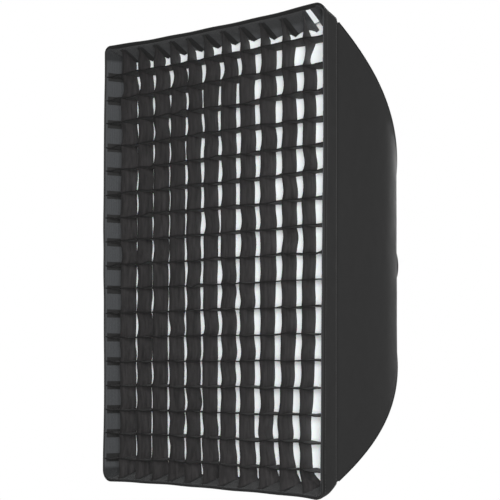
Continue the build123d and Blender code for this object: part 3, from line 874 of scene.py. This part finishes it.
def strip_table(count, cells, wander, swell, lean, seed):
    """Fixed random shape numbers of a set of strips."""
    draw = np.random.default_rng(seed)
    return {
        "node": draw.normal(0, wander, (count, cells + 1)),
        "lean": draw.normal(0, lean, (count, cells + 1)),
        "swell": draw.normal(swell, abs(swell) * 0.5 + 0.0003, (count, cells)),
        "rear": draw.uniform(0.2, 1.0, (count, cells)),
        "twist": draw.normal(0, 0.0007, (count, cells)),
    }


def upright_swell(table):
    """Changes the swell of the uprights' top cells, where the cloth hangs slack."""
    table["swell"][:, -len(TOP_SLACK):] *= TOP_SLACK
    return table


def strip_shift(table, index, cell, t, v):
    """Sideways shift in one cell of a strip, at t along the cell and v from front to rear."""
    node, lean = table["node"][index], table["lean"][index]
    at_start = node[cell] + lean[cell] * (v - 0.5)
    at_end = node[cell + 1] + lean[cell + 1] * (v - 0.5)
    swell = table["swell"][index, cell] * (1 + (table["rear"][index, cell] - 1) * v)
    wave = swell * math.sin(math.pi * t ** 0.8) + table["twist"][index, cell] * math.sin(TAU * t)
    return at_start * (1 - t) + at_end * t + wave


def low_table(table, index, height):
    """Value in metres of one of the tables for the last uprights' low cells."""
    if index not in table or height >= LOW_HEIGHTS[-1]:
        return 0.0
    after = int(np.searchsorted(LOW_HEIGHTS, height, side="right"))
    start, end = LOW_HEIGHTS[after - 1], LOW_HEIGHTS[after]
    share = float(smoothstep(height, start, end))
    return (table[index][after - 1] * (1 - share) + table[index][after] * share) / 1000


def foot_pull(index, height):
    """Sideways pull on an upright's rear edge near its foot, most on the right."""
    share = 0.4 + 0.6 * index / (COLUMNS - 2)
    return FOOT_PULL * share * max(0.0, 1 - height / FOOT_CELLS) ** 1.7


def top_pull(index, height):
    """Sideways pull on an upright's rear edge in its two top cells, most on the right."""
    above = height - (ROWS - 1)
    if above > 0:
        return -TOP_PULL * min(1, 0.3 * (index + 1)) * float(smoothstep(above, -0.15, 0.45))
    share = max(0.0, index - 6) / 4
    return -SECOND_PULL * share ** 4 * math.sin(math.pi * max(0.0, above + 1) ** 0.75)


def rear_shift(index, height):
    """Sideways shift of an upright's rear edge, at a height counted in cells."""
    return (COLUMN_LEAN[index] + top_pull(index, height) + foot_pull(index, height)
            + low_table(LOW_LEAN, index, height))


def row_tilt(z):
    """Rise of a level strip's rear edge: the low rows droop forwards, the high ones back."""
    low, high = ROW_TILT
    return low + (high - low) * (z / HALF_HEIGHT + 1) / 2


def corner_drop(along, half, radius):
    """How far a rounded corner of the border lies inside its straight side."""
    past = np.clip(np.abs(along) - (half - radius), 0, radius)
    return radius - math.sqrt(radius ** 2 - past ** 2)


def strip_end(y, here, upright, high):
    """Reach of a strip's end: where the border's own face lies."""
    half_x, half_z = lip_half(y, STRIP_INSET)
    half, reach = (half_x, half_z) if upright else (half_z, half_x)
    right, top = (here > 0, high) if upright else (high, here > 0)
    quarter = QUARTERS.index((1 if right else -1, 1 if top else -1))
    side = (("left", "right"), ("bottom", "top"))[upright][high]
    drop = corner_drop(here, half, lip_corner(y, STRIP_INSET, quarter))
    return reach - drop - float(border_sag(depth_share(y))(side, here)) + 0.0002


def strip_grid(index, upright, table):
    """Middle surface of one strip: rows along it, columns from its front to its rear edge."""
    here = float((COLUMN_X if upright else ROW_Z)[index])
    crossings = ROW_Z if upright else COLUMN_X
    cells = len(crossings) + 1
    grid = []
    for v, y in zip(np.linspace(0, 1, DEPTH_STEPS), np.linspace(*GRID_Y, DEPTH_STEPS)):
        low, high = -strip_end(y, here, upright, False), strip_end(y, here, upright, True)
        stations = np.concatenate([[low], crossings, [high]])
        line = []
        for cell in range(cells):
            for t in np.arange(CELL_STEPS + (cell == cells - 1)) / CELL_STEPS:
                along = stations[cell] + (stations[cell + 1] - stations[cell]) * t
                shift = strip_shift(table, index, cell, t, v)
                shift += v * (rear_shift(index, cell + t) if upright else row_tilt(here))
                if upright:
                    shift += low_table(LOW_SHIFT, index, cell + t)
                line.append((along, y, here + shift))
        grid.append(line)
    grid = np.array(grid).transpose(1, 0, 2)
    return warp(grid[..., [2, 1, 0]] if upright else grid)


def make_strips(name, upright, count, table, way, front_cloth):
    """Strips of one kind, whose cloth may be thicker along the front edge."""
    thick = STRIP_CLOTH + (front_cloth - STRIP_CLOTH) * (1 - np.linspace(0, 1, DEPTH_STEPS)) ** 6
    across = np.array(way) * thick[:, None] / 2
    for index in range(count):
        grid = strip_grid(index, upright, table)
        strip = add_piece(f"strip_{name}_{index + 1:02d}", [two_layers(grid - across, grid + across)],
                          f"grid_{name}", "grid", f"grid_strips_{name}", slot="grid_cloth")


def end_tab(side, place):
    """Doubled end of a strip, sewn flat on the inner face of the border."""
    sign_x, sign_z = GORES[side]
    rows = []
    for y in np.linspace(GRID_Y[0] + 0.002, GRID_Y[1] - 0.0015, 5):
        half_x, half_z = lip_half(y, GRID_INSETS[1] + TAB_GAP)
        row = []
        for step in np.linspace(-0.5, 0.5, 5):
            along = place + step * TAB_WIDTH
            inner = float(border_sag(depth_share(y))(side, along)) + TAB_LIFT * (1 - abs(step) * 0.8)
            x, z = sign_x * (half_x - inner), sign_z * (half_z - inner)
            row.append((x, y, along) if sign_x else (along, y, z))
        rows.append(row)
    return thick_sheet(warp(rows), TAB_CLOTH)


def make_end_tabs():
    tabs = [end_tab(side, z) for side in ("left", "right") for z in ROW_Z]
    tabs += [end_tab(side, x) for side in ("top", "bottom") for x in COLUMN_X[:-1]]
    obj = add_piece("strip_ends", tabs, "grid_end", "grid", slot="grid_cloth")


make_grid_border()
uprights = upright_swell(strip_table(len(COLUMN_X), ROWS, wander=0.0007, swell=0.0024, lean=0.0012, seed=5))
make_strips("upright", True, len(COLUMN_X), uprights, (1, 0, 0), STRIP_CLOTH)
levels = strip_table(len(ROW_Z), COLUMNS, wander=0.0007, swell=-0.0008, lean=0.0016, seed=9)
make_strips("level", False, len(ROW_Z), levels, (0, 0, 1), HEM_CLOTH)
make_end_tabs()


# ---- rear collar

COLLAR_REAR_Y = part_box("rear_collar")[1].y
COLLAR_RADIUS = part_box("rear_collar")[1].x
COLLAR_CLOTH = 0.0008
COLLAR_STEPS = 144
FLANGE_LIFT = 0.0011
ELASTIC_STEPS = 360
ELASTIC_RIBS = 90
ELASTIC_RIB = 0.0002


def make_collar():
    """Cloth collar round the speedring, sewn to the shell with a flat flange."""
    turn = np.arange(COLLAR_STEPS) * TAU / COLLAR_STEPS
    direction = np.stack([np.cos(turn), turn * 0, np.sin(turn)], 1)

    def ring(radius, y):
        return direction * np.reshape(radius, (-1, 1)) + np.stack([turn * 0, y, turn * 0], 1)

    flange = [SHELL_HOLE + reach for reach in (0.010, 0.006, 0.0015)]
    rows = [ring(radius, shell_y(radius, turn) + FLANGE_LIFT) for radius in flange]
    start = shell_y(SHELL_HOLE, turn) + 0.003
    gather = 0.0005 * np.sin(turn * 30) + 0.0003 * np.sin(turn * 47 + 1)
    for share in np.linspace(0, 1, 7):
        radius = COLLAR_RADIUS - 0.0006 + gather * (1 - share * 0.4)
        rows.append(ring(radius, start + (COLLAR_REAR_Y - start) * share))
    grid = np.array(rows)
    side = -1 if (normals_of(grid, True)[-1] * direction).sum() > 0 else 1
    part = thick_sheet(grid, COLLAR_CLOTH, side, loop_columns=True)
    obj = add_piece("collar", [part], "shell_nylon", "softbox", "rear_collar")
    seam = SHELL_HOLE + 0.007
    add_piece("collar_stitching", stitches(ring(seam, shell_y(seam, turn) + 0.0013)), "thread", "softbox",
              slot="black_webbing")


def make_collar_elastic():
    low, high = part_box("collar_elastic")
    inner, outer = COLLAR_RADIUS + 0.0001, high.x
    edge = outer - 0.0003
    turn = np.arange(ELASTIC_STEPS) * TAU / ELASTIC_STEPS
    rib = ELASTIC_RIB * (np.sin(turn * ELASTIC_RIBS) - 1)
    rows = []
    for share, radius in ((0, inner), (0.02, edge), (0.12, outer), (0.5, outer), (0.88, outer), (0.98, edge),
                          (1, inner)):
        y = low.y + (high.y - low.y) * share
        ring = radius + rib * (radius > inner)
        rows.append(np.stack([ring * np.cos(turn), turn * 0 + y, ring * np.sin(turn)], 1))
    add_piece("elastic_band", [ring_mesh(rows)], "black_elastic", "softbox", "collar_elastic")


make_collar()
make_collar_elastic()


# ---- inner baffle

BAFFLE_LOW, BAFFLE_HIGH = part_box("inner_baffle")
BAFFLE_CORNER = 0.018
CORNER_STEPS = 8
STRAP_X = 0.110
STRAP_Z = 0.180
STRAP_LAP = 0.010
STRAP_HALF_WIDTH = 0.011
STRAP_CLOTH = 0.0011


def rounded_outline(half_x, half_z, corner, y, spacing):
    """Rounded rectangle of points at one depth, its straight runs divided at a spacing."""
    points = []
    for quarter, (sign_x, sign_z) in enumerate(QUARTERS):
        turn = (quarter + np.arange(CORNER_STEPS + 1) / CORNER_STEPS) * math.pi / 2
        x, z = sign_x * (half_x - corner), sign_z * (half_z - corner)
        points += [np.array((x + corner * math.cos(a), y, z + corner * math.sin(a))) for a in turn]
    dense = []
    for start, end in zip(points, points[1:] + points[:1]):
        count = max(1, round(math.dist(start, end) / spacing))
        dense += [start + (end - start) * step / count for step in range(count)]
    return np.array(dense)


def make_baffle():
    def lift(x, z):
        ease = (1 - (x / BAFFLE_HIGH.x) ** 2) * (1 - (z / BAFFLE_HIGH.z) ** 2)
        return -ease * (0.0012 + 0.0008 * np.sin(z * 40 + x * 17))

    rim = rounded_outline(BAFFLE_HIGH.x, BAFFLE_HIGH.z, BAFFLE_CORNER, BAFFLE_LOW.y, 0.012)
    obj = add_piece("baffle", [filled_sheet(rim, 20, lift)], "baffle_white", "softbox", "inner_baffle")


def make_baffle_edge():
    """Binding folded over the baffle's rim, front and back."""
    width, lap, half = 0.014, 0.0009, 0.0002
    y_front, y_rear = BAFFLE_LOW.y - 2 * half, BAFFLE_HIGH.y + half
    section = [(0, y_rear + lap), (width, y_rear), (width, y_rear - half), (0.001, y_rear - half),
               (0.001, y_front + half), (width, y_front + half), (width, y_front - half),
               (0, y_front - lap * 0.4), (-0.0008, (y_front + y_rear) / 2)]
    rings = [rounded_outline(BAFFLE_HIGH.x - inset, BAFFLE_HIGH.z - inset, BAFFLE_CORNER - inset, y, 1)
             for inset, y in section]
    add_piece("baffle_edge", [ring_mesh(rings)], "black_webbing", "softbox", "baffle_border")


def strap_places():
    """Centre of each elastic strap at the baffle's rim, and the way that it runs."""
    places = []
    for side in (-1, 1):
        for end in (-1, 1):
            places.append(((side * BAFFLE_HIGH.x, end * STRAP_Z), (side, 0)))
            places.append(((end * STRAP_X, side * BAFFLE_HIGH.z), (0, side)))
    return places


def make_baffle_straps():
    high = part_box("baffle_tabs")[1]
    parts = []
    for (x, z), (way_x, way_z) in strap_places():
        reach = (high.x if way_x else high.z) - (BAFFLE_HIGH.x if way_x else BAFFLE_HIGH.z) - 0.0008
        rows = []
        for t in np.linspace(-STRAP_LAP, reach, 30):
            y = high.y - 0.0016 * math.sin(math.pi * max(0, t) / reach) - 0.00015 * math.sin(t * 2600)
            rows.append([(x + way_x * t + abs(way_z) * step, y, z + way_z * t + abs(way_x) * step)
                         for step in np.linspace(-STRAP_HALF_WIDTH, STRAP_HALF_WIDTH, 5)])
        grid = np.array(rows)
        parts.append(two_layers(grid, grid - (0, STRAP_CLOTH, 0)))
    add_piece("baffle_straps", parts, "black_elastic", "softbox", "baffle_tabs")


make_baffle()
make_baffle_edge()
make_baffle_straps()


# ---- corner pockets

POCKET_STEPS = 34
POCKET_SIDES = 16
POCKET_BORE = 0.0034
POCKET_WALL = 0.0009
POCKET_HEM = 0.0004


def make_pocket(number, sign_x, sign_z):
    """Webbing sleeve over a rod's tip, closed at the front and hemmed at its mouth."""
    _, radius, depth = rib_profile(ROD_OFFSET, 0.008)
    outward = corner_way(sign_x, sign_z)
    path = [outward * r + np.array((0, y, 0)) for r, y in zip(radius[-POCKET_STEPS:], depth[-POCKET_STEPS:])]
    last = POCKET_STEPS - 1
    along = unit(path[last] - path[last - 1])
    side = unit(np.cross(along, outward))
    turn = np.arange(POCKET_SIDES) * TAU / POCKET_SIDES
    ring = np.outer(np.cos(turn), side) + np.outer(np.sin(turn), np.cross(side, along))
    sizes = [(index, POCKET_BORE + POCKET_WALL + POCKET_HEM * (index < 5)) for index in range(0, last + 1, 3)]
    sizes += [(last, 0.0018), (last - 1, 0.0012)] + [(index, POCKET_BORE) for index in range(30, -1, -6)]
    rings = [path[index] + ring * size for index, size in sizes]
    add_piece(f"pocket_{number}", [ring_mesh(rings)], "black_webbing", "softbox", f"corner_pocket_{number}")


for number, (sign_x, sign_z) in enumerate(QUARTERS, start=1):
    make_pocket(number, sign_x, sign_z)


# ---- CAD nodes that stay, with procedural finishes

KEPT_NODES = {"bayonet_insert": "insert_metal", "slip_washer": "washer_plastic", "speed_ring": "ring_paint",
              "retaining_clips": "bright_steel", "clip_screws": "bright_steel", "baffle_snaps": "snap_metal"}
KEPT_AT_CORNERS = {"rod_socket": "bright_steel", "rod": "rod_steel", "rod_ferrule": "insert_metal",
                   "rod_tip": "tip_plastic"}
for number in range(1, 5):
    KEPT_NODES.update({f"{name}_{number}": material for name, material in KEPT_AT_CORNERS.items()})
for name, material in KEPT_NODES.items():
    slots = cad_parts[name].data.materials
    slots.clear()
    slots.append(MATERIALS[material])


# ---- floor, lights and camera

FLOOR_Z = -1.35
FLOOR_HALF = 4.5
CAMERA_PLACE = (2.110, -2.562, -0.217)
CAMERA_AZIMUTH = math.radians(44.00)
CAMERA_ELEVATION = math.radians(-3.47)
CAMERA_ROLL = math.radians(0.154)
CAMERA_LENS = 110.3
CAMERA_SHIFT = 0.05
WORLD_LIGHT = 0.18


def make_floor():
    corners = [(x * FLOOR_HALF, y * FLOOR_HALF, FLOOR_Z) for x, y in ((-1, -1), (1, -1), (1, 1), (-1, 1))]
    floor = make_piece("floor", [(corners, [[0, 1, 2, 3]])])
    nodes = Nodes("floor_paper")
    mottle = nodes.noise(0.6)
    nodes.set(Base_Color=nodes.ramp(mottle, 0.3, 0.7, grey(0.78), grey(0.80)), Roughness=0.9)
    floor.data.materials.append(nodes.material)


def area_light(name, place, aim, size, power, spread):
    """Square soft light that points at a place."""
    light = bpy.data.lights.new(name, "AREA")
    light.size = size
    light.energy = power
    light.spread = math.radians(spread)
    obj = link(name, light)
    obj.location = place
    obj.rotation_euler = (Vector(aim) - Vector(place)).to_track_quat("-Z", "Y").to_euler()


def make_world():
    """White behind everything, and a dimmer white as light."""
    world = bpy.data.worlds.new("studio")
    bpy.context.scene.world = world
    world.use_nodes = True
    tree = world.node_tree
    background = tree.nodes["Background"]
    background.inputs["Color"].default_value = (1, 1, 1, 1)
    seen = tree.nodes.new("ShaderNodeLightPath")
    mix = tree.nodes.new("ShaderNodeMapRange")
    mix.inputs["To Min"].default_value = WORLD_LIGHT
    mix.inputs["To Max"].default_value = 1.0
    tree.links.new(seen.outputs["Is Camera Ray"], mix.inputs["Value"])
    tree.links.new(mix.outputs["Result"], background.inputs["Strength"])


def make_camera():
    """Camera that sees the object as the photograph does."""
    data = bpy.data.cameras.new("camera")
    data.lens = CAMERA_LENS
    data.sensor_width = 36
    data.shift_y = CAMERA_SHIFT
    camera = link("camera", data)
    placement = Matrix.Translation(CAMERA_PLACE)
    for angle, axis in ((CAMERA_AZIMUTH, "Z"), (math.pi / 2 - CAMERA_ELEVATION, "X"), (CAMERA_ROLL, "Z")):
        placement = placement @ Matrix.Rotation(angle, 4, axis)
    camera.matrix_world = placement
    bpy.context.scene.camera = camera


make_floor()
make_world()
area_light("key", (2.6, -3.2, -0.05), (0, -0.45, 0), 1.6, 26, 60)
area_light("fill", (0.2, -4.0, 0.4), (0, -0.45, 0), 1.6, 2.0, 60)
area_light("rear", (-1.9, 2.6, 1.2), (0, -0.2, 0), 1.8, 24, 50)
make_camera()
bpy.context.scene.view_settings.view_transform = "Standard"
